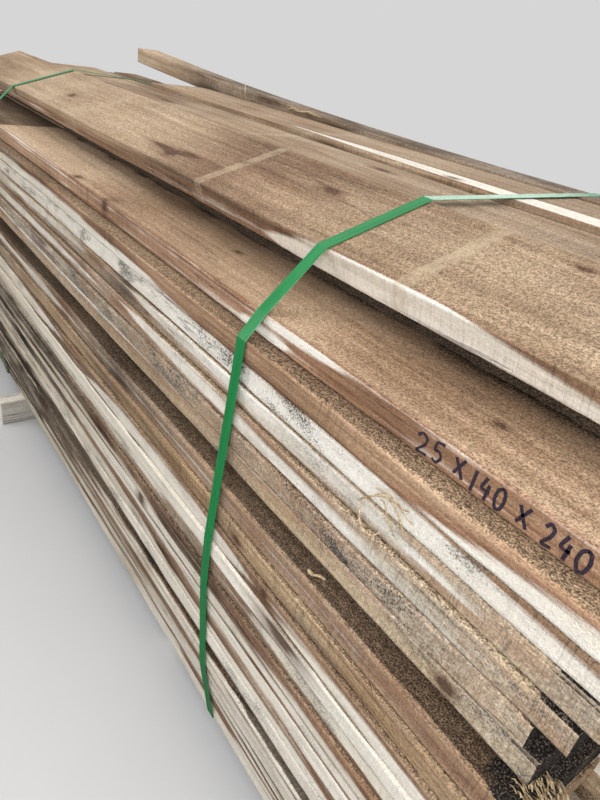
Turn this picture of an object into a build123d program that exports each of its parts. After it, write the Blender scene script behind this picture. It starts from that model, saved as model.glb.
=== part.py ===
# A strapped stack of rough-sawn hardwood boards, lying on two bearers.
# X runs along the boards, Y across them and Z up. The origin is on the floor
# under the middle of the stack. All sizes are in millimetres.
# The boards lie four to a course. On the last full course comes a crown of
# three narrower courses, then the top boards: one leans on the crown's front
# arrises, two lie flat, and a bowed batten lies loose along the back.
from build123d import *
from math import atan2, cos, degrees, sin, tan
import os

# Boards
board_length = 2400
short_board_length = 1700
board_width = 155
board_thickness = 30
boards_in_course = 4
course_gap = 0.3
joint_gap = 4
gap_spread = 1.3
butt_gap = 3
width_spread = 3
crook = 2.5
end_stagger = 22
narrowest_board = 52
rear_margin = 4
wane = 6
wane_depth = 11

# Full courses, from the bottom one up: how much thicker or thinner than the
# usual board each is sawn, and how far its front edge stands out
thickness_trim = [0, 0, 0, 0, -1, 0, 0, 0, 1, -1, -2, -2, -1,
                  -2, 0, 0, 3, -1, -1, -2, 0, -1, -1, 0, 0]
stand_out = [8, 12, 17, 22, 27, 32, 8, 38, 39, 40, 41, 43, 39,
             44, 43, 39, 35, 0, 26, 28, 27, 24, 23, 25, 0]
# How far the near end of each front board stops short of the stack's end
front_short = [81, 1, 69, 50, 17, 72, 32, 44, 43, 59, 24, 52, 64,
               3, 85, 28, 31, 42, 40, 55, 27, 15, 20, 18, 10]
front_line = -290

# Which board runs the stack's whole length, and which courses have wane
full_length_course = 3
full_length_place = 2
waney_every = 5
first_waney = 2

# Keys that give the repeatable offsets of bends, gaps, ends and crown boards
bend_key = 5
gap_key = 7
far_end_key = 11
near_end_key = 23
crown_key = 40

# Crown and top boards
crown_set_back = 166
second_crown_set_back = 150
crown_step = 91
crown_trim = 4
batten_width = 74
batten_height = 35
batten_taper = 7
batten_rise = 50
batten_length = 2185
thick_board = 33
top_inset = 10
leaning_width = 167
leaning_thickness = 36
leaning_front = 85
leaning_length = 2345
leaning_inset = 5
flat_board_width = 142
flat_board_length = 2100
flat_thickness = 28
flat_inset = 12
rear_board_length = 1700
rear_overlap = 2
rear_inset = 4

# Bearers
bearer_height = 75
bearer_width = 45
near_bearer_inset = 210
far_bearer_inset = 160
bearer_length = 720
hidden_bearer_length = 520

# Straps
strap_width = 19
strap_thickness = 1
strap_clearance = 0.3
near_strap_inset = 500
strap_spacing = 1330

half = board_length / 2
near_end = half - top_inset
near_strap_x = near_end - near_strap_inset
rear_line = front_line + boards_in_course * board_width + (boards_in_course - 1) * joint_gap + rear_margin
solids = {}
outlines = []


def vary(course, place, spread):
    """A repeatable offset for one board, between minus and plus the spread."""
    return spread * sin(2.4 * course + 1.7 * place + 0.6 * course * place)


def bent_edge(x_start, x_end, y, bend):
    """One long edge of a board in plan, bowed sideways by the given amount."""
    middle = ((x_start + x_end) / 2, y + bend)
    return ThreePointArc((x_start, y), middle, (x_end, y))


def board(x_far, x_near, y_front, y_rear, z_low, thickness, bend=0.0, waney=False):
    """A sawn board with slightly bent edges, and bark wane on its front arris."""
    if abs(bend) < 0.1:
        front = Line((x_far, y_front), (x_near, y_front))
        rear = Line((x_near, y_rear), (x_far, y_rear))
    else:
        front = bent_edge(x_far, x_near, y_front, bend)
        rear = bent_edge(x_near, x_far, y_rear, bend)
    near = Line((x_near, y_front), (x_near, y_rear))
    far = Line((x_far, y_rear), (x_far, y_front))
    body = Pos(0, 0, z_low) * extrude(make_face([front, near, rear, far]), amount=thickness)
    if waney:
        arris = body.edges().filter_by(Axis.Z, reverse=True).group_by(Axis.Z)[-1]
        arris = arris.sort_by(Axis.Y)[0]
        body = chamfer(arris, wane, wane_depth)
    outlines.append((x_far, x_near, y_front, y_rear, z_low, z_low + thickness, bend))
    return body


def keep(name, *bodies):
    """Files one node's solids under its name."""
    solids[name] = list(bodies)


def board_corners(x):
    """The section corners of every level board that the plane at x cuts."""
    corners = []
    for x_far, x_near, y_front, y_rear, z_low, z_high, bend in outlines:
        if x_far <= x <= x_near:
            along = (x - (x_far + x_near) / 2) / ((x_near - x_far) / 2)
            shift = bend * (1 - along * along)
            for y in (y_front + shift, y_rear + shift):
                corners += [(y, z_low), (y, z_high)]
    return corners


def taut_outline(points):
    """The convex outline that a tight strap takes round the points."""
    ordered = sorted(set(points))
    outline = []
    for chain in (ordered, ordered[::-1]):
        side = []
        for point in chain:
            while len(side) > 1 and turn(side[-2], side[-1], point) <= 0:
                side.pop()
            side.append(point)
        outline += side[:-1]
    return outline


def turn(a, b, c):
    """Positive where the path from a through b to c turns left."""
    return (b[0] - a[0]) * (c[1] - a[1]) - (b[1] - a[1]) * (c[0] - a[0])


# Bearers: each lies inside its strap, and the far one shows past the front
far_bearer_x = near_strap_x - strap_spacing + far_bearer_inset
near_bearer_x = near_strap_x - near_bearer_inset
for name, x, length in (("bearer_far", far_bearer_x, bearer_length), ("bearer_near", near_bearer_x, hidden_bearer_length)):
    block = Box(bearer_width, length, bearer_height, align=(Align.CENTER, Align.CENTER, Align.MIN))
    keep(name, Pos(x, 0, 0) * block)

# Full courses of four boards
z = bearer_height + course_gap
for course, (trim, proud, short) in enumerate(zip(thickness_trim, stand_out, front_short)):
    thickness = board_thickness + trim
    bend = vary(course, bend_key, crook)
    gap = joint_gap + vary(course, gap_key, gap_spread)
    y = front_line - proud
    row = []
    for place in range(boards_in_course):
        width = board_width + vary(course, place, width_spread)
        x_far = -half + end_stagger * (1 + vary(course, place + far_end_key, 1))
        x_near = half - end_stagger * (1 + vary(course, place + near_end_key, 1))
        if place == 0:
            x_near = half - short
        if course == full_length_course and place == full_length_place:
            x_far = -half
            x_near = half
        last = course == len(stand_out) - 1
        if last and place == 0:
            joint = near_end - short_board_length
            marked = board(joint, x_near, y, y + width, z, thickness, 0.0)
            filler = board(x_far, joint - butt_gap, y, y + width, z, thickness, 0.0)
        else:
            waney = place == 0 and course % waney_every == first_waney
            row.append(board(x_far, x_near, y, y + width, z, thickness, bend, waney))
        y += width + gap
    if last:
        keep("marked_board", marked)
        row.append(filler)
    keep("course_%02d" % (course + 1), *row)
    z += thickness + course_gap

# Crown: two courses set back over the second column, and a third set back more
z_first = z
z_second = z_first + board_thickness + course_gap
z_third = z_second + board_thickness + course_gap
fronts = (crown_set_back, second_crown_set_back, second_crown_set_back + crown_step)
floors = (z_first, z_second, z_third)
crown_tops = []
for number, (set_back, z) in enumerate(zip(fronts, floors)):
    y = front_line + set_back
    row = []
    while y < rear_line - narrowest_board:
        place = len(row)
        key = number + crown_key
        y_end = y + board_width - crown_trim + vary(key, place, width_spread / 2)
        if y_end > rear_line - narrowest_board:
            y_end = rear_line
        x_far = -half + end_stagger * (2 + vary(key, place + far_end_key, 1))
        x_near = half - end_stagger * (2 + vary(key, place + near_end_key, 1))
        raised = thick_board - board_thickness if number == 2 and place > 0 else 0
        row.append(board(x_far, x_near, y, y_end, z, board_thickness + raised))
        crown_tops.append((y, y_end, z + board_thickness + raised))
        y = y_end + joint_gap
    keep("crown_course_%d" % (number + 1), *row)

# Leaning board: its underside lies on the front arrises of the upper crown courses
lower_y = front_line + fronts[1]
upper_y = front_line + fronts[2]
lean = atan2(z_third - z_second, upper_y - lower_y)
foot_y = front_line + leaning_front
foot_z = z_second + board_thickness - (lower_y - foot_y) * tan(lean) + course_gap / cos(lean)
leaning_near = near_end - leaning_inset
leaning_far = leaning_near - leaning_length
plank = Box(leaning_length, leaning_width, leaning_thickness, align=(Align.MIN, Align.MIN, Align.MIN))
plank = Pos(leaning_far, foot_y, foot_z) * Rot(degrees(lean), 0, 0) * plank
keep("leaning_board", plank)


def leaning_point(across, up):
    """A corner of the leaning board's section, from its lower front corner."""
    y = foot_y + across * cos(lean) - up * sin(lean)
    return (y, foot_z + across * sin(lean) + up * cos(lean))


leaning_corners = [leaning_point(a, u) for a in (0, leaning_width) for u in (0, leaning_thickness)]

# Flat top boards behind the leaning one
third_top = z_third + board_thickness
raised_top = z_third + thick_board
flat_y = leaning_point(leaning_width, 0)[0] + joint_gap
flat_far = near_end - flat_board_length
flat_rear = flat_y + flat_board_width
flat = board(flat_far, near_end - flat_inset, flat_y, flat_rear, third_top + course_gap, flat_thickness)
keep("flat_board", flat)
rear_y = max(flat_rear + joint_gap, crown_tops[-2][0] - rear_overlap)
batten_y = rear_line - batten_width
rear_far = near_end - rear_board_length
rear_near = near_end - rear_inset
rear_board = board(rear_far, rear_near, rear_y, batten_y - joint_gap, raised_top + course_gap, thick_board)
keep("rear_board", rear_board)

# Loose batten: level along its near part, then bowed up clear of the stack.
# It grows thicker toward its far end, so its top rises on a closer arc.
batten_floor = raised_top + course_gap
batten_far = near_end - batten_length
bowed_length = near_strap_x - batten_far


def bow(x, rise):
    """Lift at x of an arc that starts level at the near strap and ends up by the rise."""
    radius = (bowed_length ** 2 + rise ** 2) / (2 * rise)
    away = max(0.0, near_strap_x - x)
    return radius - (radius ** 2 - away ** 2) ** 0.5


def batten_bottom(x):
    """Height of the batten's underside."""
    return batten_floor + bow(x, batten_rise)


def batten_top(x):
    """Height of the batten's top."""
    return batten_floor + batten_height + bow(x, batten_rise + batten_taper)


def batten_line(x_start, x_end, height):
    """Part of the batten's underside or top, as an arc through its middle."""
    places = (x_start, (x_start + x_end) / 2, x_end)
    return ThreePointArc(*[(x, height(x)) for x in places])


side = [
    Line((near_strap_x, batten_floor), (near_end, batten_floor)),
    Line((near_end, batten_floor), (near_end, batten_top(near_end))),
    Line((near_end, batten_top(near_end)), (near_strap_x, batten_top(near_strap_x))),
    batten_line(near_strap_x, batten_far, batten_top),
    Line((batten_far, batten_top(batten_far)), (batten_far, batten_bottom(batten_far))),
    batten_line(batten_far, near_strap_x, batten_bottom),
]
batten = extrude(Plane.XZ * make_face(side), amount=-batten_width)
keep("loose_batten", Pos(0, batten_y, 0) * batten)

# Straps: flat closed bands drawn tight round every corner that stands out.
# The near one holds the batten, and the far one passes under it.
batten_corners = [(y, batten_top(near_strap_x - strap_width / 2)) for y in (batten_y, rear_line)]
for name, x, held in (("near_strap", near_strap_x, batten_corners),
                      ("far_strap", near_strap_x - strap_spacing, [])):
    corners = board_corners(x) + leaning_corners + held
    path = Polyline(*taut_outline(corners), close=True)
    core = make_face(path)
    inner = offset(core, amount=strap_clearance)
    outer = offset(core, amount=strap_clearance + strap_thickness)
    band = extrude(Plane.YZ * (outer - inner), amount=strap_width)
    keep(name, Pos(x - strap_width / 2, 0, 0) * band)

os.makedirs("parts", exist_ok=True)
for name, bodies in solids.items():
    pieces = [solid for body in bodies for solid in body.solids()]
    whole = pieces[0] if len(pieces) == 1 else Compound(children=pieces)
    whole.label = name
    export_step(whole, "parts/%s.step" % name)

print("lean of the top board:", round(degrees(lean), 1), "degrees")
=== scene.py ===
import math

import bpy
import numpy as np
from mathutils import Matrix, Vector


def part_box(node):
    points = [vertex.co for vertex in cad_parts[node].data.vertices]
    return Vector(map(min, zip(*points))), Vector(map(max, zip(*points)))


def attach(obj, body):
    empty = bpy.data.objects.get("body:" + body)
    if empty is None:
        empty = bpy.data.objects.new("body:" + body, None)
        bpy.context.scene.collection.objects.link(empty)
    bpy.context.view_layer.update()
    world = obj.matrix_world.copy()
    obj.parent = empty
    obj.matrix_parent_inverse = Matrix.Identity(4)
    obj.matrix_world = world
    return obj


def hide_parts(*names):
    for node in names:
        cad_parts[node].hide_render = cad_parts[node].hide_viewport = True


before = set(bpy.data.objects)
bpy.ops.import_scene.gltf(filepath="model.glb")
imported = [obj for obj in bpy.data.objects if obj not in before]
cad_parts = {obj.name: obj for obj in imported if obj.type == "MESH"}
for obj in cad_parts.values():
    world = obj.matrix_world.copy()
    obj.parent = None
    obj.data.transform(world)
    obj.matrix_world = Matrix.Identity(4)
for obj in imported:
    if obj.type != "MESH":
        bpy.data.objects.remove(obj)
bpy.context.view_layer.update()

# The bearers: two lengths of rough softwood that lift the stack off the floor, so
# that forks go in between. The far one stands out past the front face. The sawn
# board's shape and the timber finish, which every board shares, begin here.


def drift(x, seed, step):
    """Smooth wandering between -1 and 1: seeded values every step metres, eased with a cosine."""
    values = np.random.default_rng(seed).uniform(-1, 1, 1200)
    place = np.asarray(x, float) / step + 600
    left = np.clip(np.floor(place).astype(int), 0, 1198)
    ease = 0.5 - 0.5 * np.cos(np.pi * (place - left))
    return values[left] * (1 - ease) + values[left + 1] * ease


def patchwork(x, v, seed, step_x, step_v):
    """Smooth wandering over a surface, between -1 and 1: seeded values on a lattice, eased both ways."""
    values = np.random.default_rng(seed).uniform(-1, 1, (160, 48))
    at_x, at_v = np.asarray(x, float) / step_x + 80, np.asarray(v, float) / step_v + 24
    i, j = np.clip(np.floor(at_x).astype(int), 0, 158), np.clip(np.floor(at_v).astype(int), 0, 46)
    s, t = np.clip(at_x - i, 0, 1), np.clip(at_v - j, 0, 1)
    s, t = s * s * (3 - 2 * s), t * t * (3 - 2 * t)
    low = values[i, j] * (1 - s) + values[i + 1, j] * s
    high = values[i, j + 1] * (1 - s) + values[i + 1, j + 1] * s
    return low * (1 - t) + high * t


def stops(length, edge, margin, count):
    """Places along one side of a board: close together at its edges, even between the margins."""
    middle = np.linspace(margin, length - margin, count)
    return np.concatenate([[0, edge], middle, [length - edge, length]])


def tube_faces(rings):
    """Quads between each ring of points and the next one, closed round the rings."""
    beside = np.roll(rings, -1, 1)
    return np.stack([rings[:-1], rings[1:], beside[1:], beside[:-1]], -1).reshape(-1, 4)


def board_grid(length, width, thickness, stations, across, up, seed, rough, slack):
    """A sawn board as a closed grid: stations along it times points round its section.

    Each arris is worn inwards by up to rough, unevenly. The side faces wander by a fraction of
    rough and the broad ones by up to slack, always inwards. Both ends are closed with grids that
    share the rim. Returns points as (along, across, up) from the lower front corner of the far
    end, and the faces."""
    s = stops(length, 0.0012, 0.004, stations)
    a = stops(width, 0.0022, 0.007, across - 3)
    b = stops(thickness, 0.0018, 0.0045, up - 3)
    na, nb = len(a) - 1, len(b) - 1
    rim_a = np.concatenate([np.zeros(nb), a[:-1], np.full(nb, width), a[:0:-1]])
    rim_b = np.concatenate([b[:-1], np.full(na, thickness), b[:0:-1], np.zeros(na)])
    count = len(rim_a)
    along = np.repeat(s[:, None], count, 1)
    side = np.repeat(rim_a[None], len(s), 0)
    high = np.repeat(rim_b[None], len(s), 0)
    front = side < width / 2
    top_slack = slack * (0.5 + 0.5 * drift(along, seed + 13, 0.34))
    low_slack = 0.6 * slack * (0.5 + 0.5 * drift(along, seed + 14, 0.27))
    high = low_slack + high / thickness * (thickness - low_slack - top_slack)
    wander = 0.5 * rough
    ripple = patchwork(along, high, seed + 15, 0.06, 0.012)
    front_shift = wander * (1 + 0.6 * drift(along, seed + 11, 0.3) + 0.4 * ripple)
    rear_shift = wander * (1 + drift(along, seed + 12, 0.26))
    side += np.where(front, front_shift * (1 - side / width * 2), -rear_shift * (side / width * 2 - 1))
    corner = {0: (1, 1, 1), nb: (2, 1, -1), nb + na: (3, -1, -1), 2 * nb + na: (4, -1, 1)}
    for index, (part, toward_a, toward_b) in corner.items():
        chips = np.clip(drift(s, seed * 7 + part, 0.021) - 0.35, 0, 1)
        chips += np.clip(drift(s, seed * 5 + part, 0.19), 0, 1) ** 2
        wear = rough * (0.3 + 0.8 * chips)
        side[:, index] += toward_a * wear
        high[:, index] += toward_b * wear * 0.8
    points = np.stack([along, side, high], -1)
    ring = np.arange(len(s) * count).reshape(len(s), count)
    faces = [tube_faces(ring)]
    flat = [points.reshape(-1, 3)]
    total = len(flat[0])
    for end, row in ((0, 0), (1, -1)):
        net = np.full((nb + 1, na + 1), -1)
        net[:-1, 0] = ring[row][:nb]
        net[-1, :-1] = ring[row][nb:nb + na]
        net[:0:-1, -1] = ring[row][nb + na:2 * nb + na]
        net[0, :0:-1] = ring[row][2 * nb + na:]
        inner_b, inner_a = np.meshgrid(b[1:-1], a[1:-1], indexing="ij")
        net[1:-1, 1:-1] = total + np.arange(inner_a.size).reshape(inner_a.shape)
        dish = 0.0012 * (1 + patchwork(inner_a, inner_b, seed + 17 + end, 0.02, 0.012))
        x = s[row] + (dish if end == 0 else -dish)
        flat.append(np.stack([x, inner_a, inner_b], -1).reshape(-1, 3))
        total += inner_a.size
        quads = np.stack([net[:-1, :-1], net[:-1, 1:], net[1:, 1:], net[1:, :-1]], -1).reshape(-1, 4)
        faces.append(quads if end else quads[:, ::-1])
    return np.concatenate(flat), np.concatenate(faces)


def streak(x, v, start, end, low, high, half):
    """Depth inside a long lens: positive within half of a line from low to high, narrowing at both ends."""
    t = np.clip((x - start) / (end - start), 0, 1)
    body = half * (1 - np.abs(2 * t - 1) ** 3)
    return body - np.abs(v - low - (high - low) * t)


def board_look(tone=(0.0, 0.0, 0.2, 0.2), base=None, mix=0.0, streaks=(), knots=(), stains_and_shade=(),
               pith=(0.07, -0.03), heart=0.12):
    """One board's looks. tone is (dark, red, grey, mould). base is how far its whole edge is in
    the sapwood, or None where the distance from the pith, less the heart's radius, decides."""
    return {"tone": tone, "base": base, "mix": mix, "streaks": streaks, "knots": knots, "stains_and_shade": stains_and_shade,
            "pith": pith, "heart": heart}


def sapwood(x, across, up, thickness, look, seed):
    """How far a point lies in the sapwood: above 0 sap, below 0 heart.

    On a wide board this is the distance from the pith. On an edge it is a base value with
    a slow wander, and lens-shaped streaks of sap or of heart go over it. Heights count in
    thicknesses and run on round the arrises, 2.5 times as fast, so that a streak wraps over."""
    level = up / thickness
    wrap = np.clip((level - 0.88) / 0.12, 0, 1) - np.clip((0.12 - level) / 0.12, 0, 1)
    v = level + 2.5 * wrap * across / thickness
    if look["base"] is None:
        pith = look["pith"]
        pith_a = across - pith[0] - 0.012 * drift(x, seed + 3, 0.9)
        pith_b = up - pith[1] - 0.01 * drift(x, seed + 4, 0.8)
        field = (np.hypot(pith_a, pith_b) - look["heart"]) / 0.03
    else:
        field = look["base"] + look["mix"] * patchwork(x, v, seed + 5, 0.33, 0.3) + 0 * x
    for sign, start, end, low, high, half in look["streaks"]:
        depth = streak(x, v, start, end, low, high, half)
        field = np.maximum(field, depth) if sign > 0 else np.minimum(field, -depth)
    return field


def sawn_board(box, look, seed, stations=150, across=11, up=7, rough=0.0022, slack=0.0012,
               lean=0.0, rise=None, dirt_and_shade=None):
    """One board's arrays. box is (far, near, front, rear, low, high, bend) in metres. lean turns
    the board about its lower front arris, rise gives its underside and thickness at x, and
    the last argument gives how dark it is made at (x, y): dirt and stains, and painted shade."""
    x_far, x_near, front, rear, low, high, bend = box
    length, width, thickness = x_near - x_far, rear - front, high - low
    grid, faces = board_grid(length, width, thickness, stations, across, up, seed, rough, slack)
    x, a, b = x_far + grid[:, 0], grid[:, 1], grid[:, 2]
    half = length / 2
    y = front + bend * (1 - ((grid[:, 0] - half) / half) ** 2) + a * math.cos(lean) - b * math.sin(lean)
    z = low + a * math.sin(lean) + b * math.cos(lean)
    if rise is not None:
        floor_z, tall = rise(x)
        z = floor_z + b / thickness * tall
    pith = look["pith"]
    log_a = a - pith[0] - 0.02 * drift(x, seed + 1, 0.7)
    log_b = b - pith[1] - 0.014 * drift(x, seed + 2, 0.6)
    log = np.stack([x + 3.1 * seed, log_a, log_b], -1)
    local = np.stack([x + 1.7 * (seed % 41), a + 0.31 * (seed % 7), b + 0.23 * (seed % 5)], -1)
    knot = np.full((len(x), 3), 9.0)
    nearest = np.full(len(x), 1e9)
    for knot_x, knot_a, knot_b, size_x, size_a, size_b in look["knots"]:
        offset = np.stack([(x - knot_x) / size_x, (a - knot_a) / size_a, (b - knot_b) / size_b], -1)
        away = np.linalg.norm(offset, axis=1)
        knot = np.where((away < nearest)[:, None], offset, knot)
        nearest = np.minimum(away, nearest)
    tone = np.tile(np.array(look["tone"], float), (len(x), 1))
    tone[:, 0] += 0.16 * drift(x, seed + 6, 0.37) + 0.1 * drift(x, seed + 7, 0.11)
    for middle, reach, *change in look["stains_and_shade"]:
        tone[:, :len(change)] += np.exp(-((x - middle) / reach) ** 2)[:, None] * change
    return {
        "points": np.stack([x, y, z], -1), "faces": faces, "log": log, "local": local,
        "tone": tone, "knot": knot, "sap": sapwood(x, a, b, thickness, look, seed),
        "dirt_and_shade": np.zeros(len(x)) if dirt_and_shade is None else dirt_and_shade(x, y),
    }


def joined(parts):
    """Several (points, faces) pairs as one pair, with the faces counted on."""
    starts = np.cumsum([0] + [len(points) for points, _ in parts])
    points = np.concatenate([points for points, _ in parts])
    return points, np.concatenate([faces + start for (_, faces), start in zip(parts, starts)])


def placed(name, data):
    """A new object in the scene, at the origin."""
    made = bpy.data.objects.new(name, data)
    bpy.context.scene.collection.objects.link(made)
    return made


def timber_mesh(name, parts, material):
    """Joins several boards' arrays into one object with the attributes that the timber finish reads."""
    points, faces = joined([(part["points"], part["faces"]) for part in parts])
    mesh = bpy.data.meshes.new(name)
    mesh.vertices.add(len(points))
    mesh.vertices.foreach_set("co", points.ravel())
    mesh.loops.add(faces.size)
    mesh.loops.foreach_set("vertex_index", faces.ravel())
    mesh.polygons.add(len(faces))
    mesh.polygons.foreach_set("loop_start", np.arange(0, faces.size, 4))
    mesh.update(calc_edges=True)
    vector, number = ("FLOAT_VECTOR", "vector"), ("FLOAT", "value")
    kinds = {"log": vector, "local": vector, "knot": vector, "tone": ("FLOAT_COLOR", "color"),
             "sap": number, "dirt_and_shade": number}
    for key, (kind, field) in kinds.items():
        values = np.concatenate([part[key] for part in parts]).astype(np.float32)
        mesh.attributes.new(key, kind, "POINT").data.foreach_set(field, values.ravel())
    mesh.materials.append(material)
    piece = placed(name, mesh)
    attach(piece, "root")
    return piece


def cad_points(node):
    """The corners of a CAD node's solids, in metres."""
    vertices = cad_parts[node].data.vertices
    points = np.empty(3 * len(vertices), np.float32)
    vertices.foreach_get("co", points)
    return points.reshape(-1, 3).astype(float)


def boards_in(node):
    """The boards of a CAD node, as (far, near, front, rear, low, high, bend) in metres, front first.

    Triangles are grouped by the strip across the stack that they cover, and the bend is how
    far the front edge's middle lies behind its ends."""
    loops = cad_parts[node].data.loops
    corners = np.empty(len(loops), np.int32)
    loops.foreach_get("vertex_index", corners)
    points = cad_points(node)
    y = points[corners.reshape(-1, 3), 1]
    spans = np.stack([y.min(1), y.max(1)], 1)
    spans = spans[np.argsort(spans[:, 0])]
    strips = [list(spans[0])]
    for low, high in spans[1:]:
        if low > strips[-1][1] + 0.0001:
            strips.append([low, high])
        strips[-1][1] = max(strips[-1][1], high)
    boards = []
    for low, high in strips:
        own = points[(points[:, 1] >= low - 1e-5) & (points[:, 1] <= high + 1e-5)]
        at_end = own[own[:, 0] < own[:, 0].min() + 0.001]
        front, rear = at_end[:, 1].min(), at_end[:, 1].max()
        bend = (low - front) if low < front - 1e-5 else (high - rear)
        boards.append((own[:, 0].min(), own[:, 0].max(), front, rear, own[:, 2].min(), own[:, 2].max(), bend))
    return boards


def plain_look(seed, sappy=0.5, tone=(0.0, 0.0, 0.15, 0.2)):
    """An inner board's looks, drawn from its seed: where the pith lies, how thick the heart is, its knots."""
    rng = np.random.default_rng(900 + seed)
    knots = [(rng.uniform(-1.1, 1.1), rng.uniform(0.0, 0.15), 0.015,
              rng.uniform(0.012, 0.03), rng.uniform(0.007, 0.016), 0.03)
             for _ in range(rng.integers(0, 4))]
    dark, red, grey, mould = tone
    tone = (dark + rng.uniform(-0.25, 0.25), red + rng.uniform(-0.3, 0.3),
            grey + rng.uniform(0, 0.3), mould * rng.uniform(0.2, 1.6))
    pith = (rng.uniform(-0.02, 0.17), rng.choice([-1, 1]) * rng.uniform(0.01, 0.07))
    return board_look(tone, knots=knots, pith=pith, heart=rng.uniform(0.05, 0.17) * (1.6 - sappy))


class Wiring:
    """Short words for placing and joining shader nodes in one tree."""

    def __init__(self, tree):
        self.tree = tree

    def add(self, kind, **values):
        node = self.tree.nodes.new(kind)
        for key, value in values.items():
            setattr(node, key, value)
        return node

    def put(self, socket, value):
        if hasattr(value, "is_output"):
            self.tree.links.new(value, socket)
        elif value is not None:
            socket.default_value = value

    def math(self, operation, a, b=None, c=None, clamp=False):
        node = self.add("ShaderNodeMath", operation=operation, use_clamp=clamp)
        for socket, value in zip(node.inputs, (a, b, c)):
            self.put(socket, value)
        return node.outputs[0]

    def swing(self, value):
        """How far a noise lies from its middle."""
        return self.math("SUBTRACT", value, 0.5)

    def share(self, value, weight):
        """A weighted value, held between 0 and 1."""
        return self.math("MULTIPLY", value, weight, clamp=True)

    def sum(self, start, *terms):
        """start plus each (value, weight) term."""
        total = start
        for value, weight in terms:
            total = self.math("MULTIPLY_ADD", value, weight, total)
        return total

    def product(self, first, *others):
        total = first
        for value in others:
            total = self.math("MULTIPLY", total, value)
        return total

    def vector(self, operation, a, b=None):
        node = self.add("ShaderNodeVectorMath", operation=operation)
        self.put(node.inputs[0], a)
        self.put(node.inputs[1], b)
        return node.outputs["Value" if operation == "LENGTH" else "Vector"]

    def noise(self, where, scales, detail=2.0, roughness=0.5):
        """Noise at a place, with so many features a metre each way."""
        node = self.add("ShaderNodeTexNoise")
        self.put(node.inputs["Vector"], self.vector("MULTIPLY", where, scales))
        node.inputs["Scale"].default_value = 1.0
        node.inputs["Detail"].default_value = detail
        node.inputs["Roughness"].default_value = roughness
        return node.outputs[0]

    def step(self, value, low, high, out_low=0.0, out_high=1.0):
        node = self.add("ShaderNodeMapRange", interpolation_type="SMOOTHSTEP")
        for socket, v in zip(node.inputs, (value, low, high, out_low, out_high)):
            self.put(socket, v)
        return node.outputs[0]

    def ramp(self, value, stops):
        """A colour read off a scale of (place, colour) stops."""
        node = self.add("ShaderNodeValToRGB")
        stops_in = node.color_ramp.elements
        while len(stops_in) < len(stops):
            stops_in.new(0.5)
        for stop, (place, colour) in zip(stops_in, stops):
            stop.position = place
            stop.color = colour
        self.put(node.inputs[0], value)
        return node.outputs[0]

    def blend(self, factor, a, b, kind="MIX"):
        node = self.add("ShaderNodeMix", data_type="RGBA", blend_type=kind)
        self.put(node.inputs[0], factor)
        self.put(node.inputs[6], a)
        self.put(node.inputs[7], b)
        return node.outputs[2]

    def split(self, value):
        node = self.add("ShaderNodeSeparateXYZ")
        self.put(node.inputs[0], value)
        return node.outputs[0], node.outputs[1], node.outputs[2]

    def join(self, x, y, z):
        node = self.add("ShaderNodeCombineXYZ")
        for socket, value in zip(node.inputs, (x, y, z)):
            self.put(socket, value)
        return node.outputs[0]

    def attribute(self, name):
        return self.add("ShaderNodeAttribute", attribute_name=name).outputs

    def bump(self, height, strength):
        """The normal that a height in metres gives."""
        node = self.add("ShaderNodeBump")
        node.inputs["Distance"].default_value = 1.0
        node.inputs["Strength"].default_value = strength
        self.put(node.inputs["Height"], height)
        return node.outputs["Normal"]


def new_finish(name):
    """A new material, its wiring, and its Principled shader's inputs."""
    material = bpy.data.materials.new(name)
    material.use_nodes = True
    tree = material.node_tree
    return material, Wiring(tree), tree.nodes["Principled BSDF"].inputs


def rgb(r, g, b):
    """A colour given as it looks on screen, 0 to 255, turned into light."""
    light = [c / 255 / 12.92 if c < 11 else ((c / 255 + 0.055) / 1.055) ** 2.4 for c in (r, g, b)]
    return (*light, 1.0)


def new_group(name, inputs, outputs):
    """A shader node group with the named sockets, its wiring, and its inner input and output sockets."""
    group = bpy.data.node_groups.new(name, "ShaderNodeTree")
    for label, kind, default in inputs:
        made = group.interface.new_socket(name=label, in_out="INPUT", socket_type="NodeSocket" + kind)
        if default is not None:
            made.default_value = default
    for label, kind in outputs:
        group.interface.new_socket(name=label, in_out="OUTPUT", socket_type="NodeSocket" + kind)
    w = Wiring(group)
    return group, w, w.add("NodeGroupInput").outputs, w.add("NodeGroupOutput").inputs


HEART = [(0.0, rgb(40, 31, 25)), (0.2, rgb(88, 68, 52)), (0.4, rgb(134, 109, 86)),
         (0.58, rgb(164, 139, 112)), (0.76, rgb(188, 164, 136)), (1.0, rgb(214, 194, 166))]
SAP = [(0.0, rgb(128, 112, 94)), (0.3, rgb(190, 175, 152)), (0.52, rgb(222, 211, 192)),
       (0.72, rgb(238, 230, 216)), (1.0, rgb(247, 243, 234))]

timber, w, given, result = new_group(
    "sawn_timber",
    [("Log", "Vector", None), ("Local", "Vector", None), ("Tone", "Color", None), ("Mould", "Float", 0.2),
     ("Sap", "Float", -1.0), ("Knot", "Vector", None), ("Dirt_and_shade", "Float", 0.0), ("Ledge", "Float", 0.0),
     ("Normal", "Vector", None)],
    [("Color", "Color"), ("Roughness", "Float"), ("Height", "Float")],
)
nx, _, nz = w.split(given["Normal"])
end_face = w.step(w.math("ABSOLUTE", nx), 0.6, 0.8)
broad_face = w.step(w.math("ABSOLUTE", nz), 0.6, 0.8)
edge_face = w.math("SUBTRACT", 1.0, w.math("MAXIMUM", end_face, broad_face))
along, ring_a, ring_b = w.split(given["Log"])
px, pa, pb = w.split(given["Local"])
dark, red, grey = w.split(given["Tone"])
place = given["Local"]

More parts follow.
